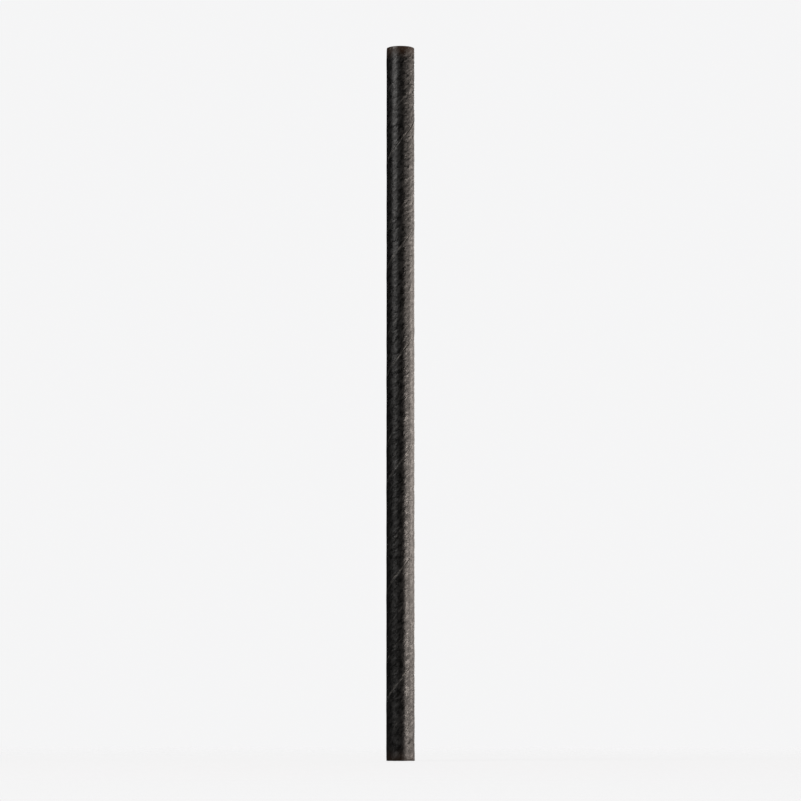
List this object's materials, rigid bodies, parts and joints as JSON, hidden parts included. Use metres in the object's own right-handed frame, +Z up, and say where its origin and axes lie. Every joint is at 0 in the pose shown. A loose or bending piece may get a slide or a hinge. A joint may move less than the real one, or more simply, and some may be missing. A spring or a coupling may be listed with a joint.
{
  "type": "paper drinking straw",
  "caption": "Short straight black drinking straw of spiral-wound paper, cut square at both ends, with a helical seam.",
  "frame": {"origin": "middle of the end that the straw stands on", "axes": "+Z up along the straw, -Y to the side that the picture shows, +X to the right there"},
  "size_m": [0.006, 0.006, 0.15],
  "materials": {
    "paper": "black dyed paper, satin, with fine fibres"
  },
  "bodies": {
    "root": {"straw": "paper"}
  },
  "joints": []
}
